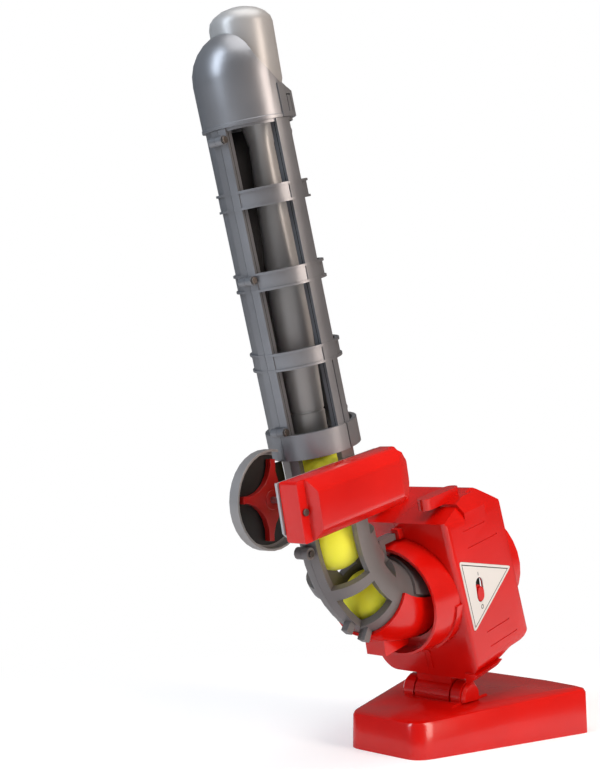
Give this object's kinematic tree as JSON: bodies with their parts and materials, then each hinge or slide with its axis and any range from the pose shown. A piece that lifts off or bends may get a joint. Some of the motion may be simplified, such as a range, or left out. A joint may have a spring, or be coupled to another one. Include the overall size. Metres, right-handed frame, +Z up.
{
  "type": "toy baseball pitching machine",
  "caption": "Toy ball-pitching machine: tilting two-wheel pitching head on a flared base, fed by a curved chute, a star wheel and a tall open ball tube that stores the bat.",
  "frame": {"origin": "centre of the base's underside", "axes": "+X the pitching direction, +Y the machine's left, +Z up"},
  "size_m": [0.4848, 0.2144, 0.7089],
  "materials": {
    "red_plastic": "glossy injection-moulded red",
    "silver_plastic": "silver-grey metallic paint, satin",
    "grey_plastic": "satin warm grey",
    "black_plastic": "matt black",
    "white_plastic": "satin white",
    "yellow_foam": "matt closed-cell foam",
    "black_rubber": "soft matt rubber",
    "steel": "plated steel",
    "cell_jacket": "plain printed jacket film"
  },
  "bodies": {
    "base": {"base_shell": "red_plastic", "base_plate": "red_plastic", "battery_cell_1": "cell_jacket", "battery_cell_2": "cell_jacket", "battery_cell_3": "cell_jacket", "battery_cell_4": "cell_jacket", "battery_contact_left": "steel", "battery_contact_right": "steel", "base_screw_1": "steel", "base_screw_2": "steel", "base_screw_3": "steel", "hinge_pin": "steel", "friction_washer_left": "black_plastic", "friction_washer_right": "black_plastic", "pivot_cap_left": "red_plastic", "pivot_cap_right": "red_plastic"},
    "battery_door": {"battery_door": "red_plastic"},
    "upper_flywheel": {"upper_wheel": "white_plastic", "upper_tyre": "black_rubber", "upper_shaft": "steel"},
    "lower_flywheel": {"lower_wheel": "white_plastic", "lower_tyre": "black_rubber", "lower_shaft": "steel"},
    "star": {"star_wheel": "red_plastic", "star_shaft": "steel", "star_gear": "white_plastic"},
    "reduction_gear": {"worm_gear": "white_plastic"},
    "worm": {"worm": "steel"},
    "power_switch": {"switch_slider": "red_plastic"},
    "bat": {"bat": "silver_plastic"},
    "head": {"head_knuckle": "red_plastic", "housing_left": "red_plastic", "housing_right": "red_plastic", "muzzle_ring": "red_plastic", "inlet_ring": "red_plastic", "inlet_cup": "red_plastic", "feeder_box": "red_plastic", "magazine_left": "silver_plastic", "magazine_right": "silver_plastic", "hood": "silver_plastic", "elbow_left": "grey_plastic", "elbow_right": "grey_plastic", "feeder_casing": "grey_plastic", "feeder_plate": "grey_plastic", "ball_guide": "grey_plastic", "switch_body": "black_plastic", "side_badge": "white_plastic", "ball_1": "yellow_foam", "ball_2": "yellow_foam", "ball_3": "yellow_foam", "housing_screw_upper": "steel", "housing_screw_lower": "steel", "upper_motor": "steel", "lower_motor": "steel", "elbow_screw": "steel", "feeder_motor": "steel", "feeder_screw": "steel", "magazine_screw_top": "steel", "magazine_screw_middle": "steel", "magazine_screw_bottom": "steel"}
  },
  "joints": [
    {"name": "head_tilt", "type": "hinge", "parent": "base", "child": "head", "pos_m": [-0.017, 0, 0.047], "axis": [0, -1, 0], "range_deg": [-23, 10]},
    {"name": "battery_door_lift", "type": "slide", "parent": "base", "child": "battery_door", "axis": [0, 0, -1], "range_m": [0, 0.04]},
    {"name": "upper_wheel_spin", "type": "hinge", "parent": "head", "child": "upper_flywheel", "pos_m": [-0.03199, 0, 0.22314], "axis": [0, 1, 0], "continuous": true},
    {"name": "lower_wheel_spin", "type": "hinge", "parent": "head", "child": "lower_flywheel", "pos_m": [-0.00724, 0, 0.11596], "axis": [0, 1, 0], "continuous": true},
    {"name": "star_spin", "type": "hinge", "parent": "head", "child": "star", "pos_m": [-0.27722, 0, 0.25838], "axis": [0, 1, 0], "continuous": true},
    {"name": "reduction_gear_spin", "type": "hinge", "parent": "head", "child": "reduction_gear", "pos_m": [-0.25647, 0, 0.25204], "axis": [0, 1, 0], "continuous": true},
    {"name": "worm_spin", "type": "hinge", "parent": "head", "child": "worm", "pos_m": [-0.26002, -0.061, 0.26743], "axis": [0.9744, 0, 0.225], "continuous": true},
    {"name": "switch_slide", "type": "slide", "parent": "head", "child": "power_switch", "axis": [-0.225, 0, 0.9744], "range_m": [0, 0.009]},
    {"name": "bat_lift", "type": "slide", "parent": "head", "child": "bat", "axis": [-0.2526, 0, 0.9676], "range_m": [0, 0.45]}
  ],
  "couplings": [
    {"joint": "lower_wheel_spin", "follows": "upper_wheel_spin", "ratio": -1}
  ]
}
